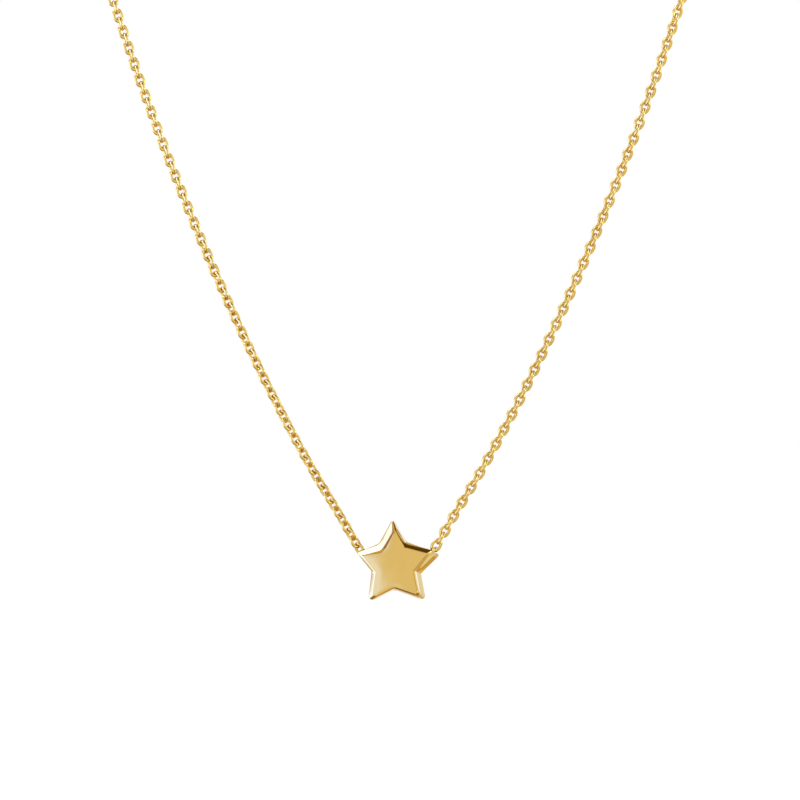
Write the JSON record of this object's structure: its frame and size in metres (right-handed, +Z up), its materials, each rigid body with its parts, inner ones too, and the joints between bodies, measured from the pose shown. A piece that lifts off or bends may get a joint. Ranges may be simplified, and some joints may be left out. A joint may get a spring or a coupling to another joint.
{
  "type": "star pendant necklace",
  "caption": "Fine gold cable chain necklace with a thick bevelled five-pointed star bead threaded on it, and a ring clasp at the nape.",
  "frame": {"origin": "the middle of the clasp, where the necklace lies on the nape of the neck", "axes": "+Z up, the way the neck goes out of the loop; the star hangs at -Y in front and faces -Y; +X is the right-hand side as seen from the front"},
  "size_m": [0.101, 0.093, 0.1334],
  "materials": {
    "star_gold": "mirror polished gold plate",
    "chain_gold": "polished gold plate",
    "clasp_gold": "polished gold plate"
  },
  "bodies": {
    "necklace": {"chain": "chain_gold", "clasp": "clasp_gold"},
    "star": {"star": "star_gold"}
  },
  "joints": [
    {"name": "star_swing", "type": "hinge", "parent": "necklace", "child": "star", "pos_m": [0, -0.09, -0.1253], "axis": [0.9818, -0.1883, 0.0261], "range_deg": [-15, 15]}
  ]
}
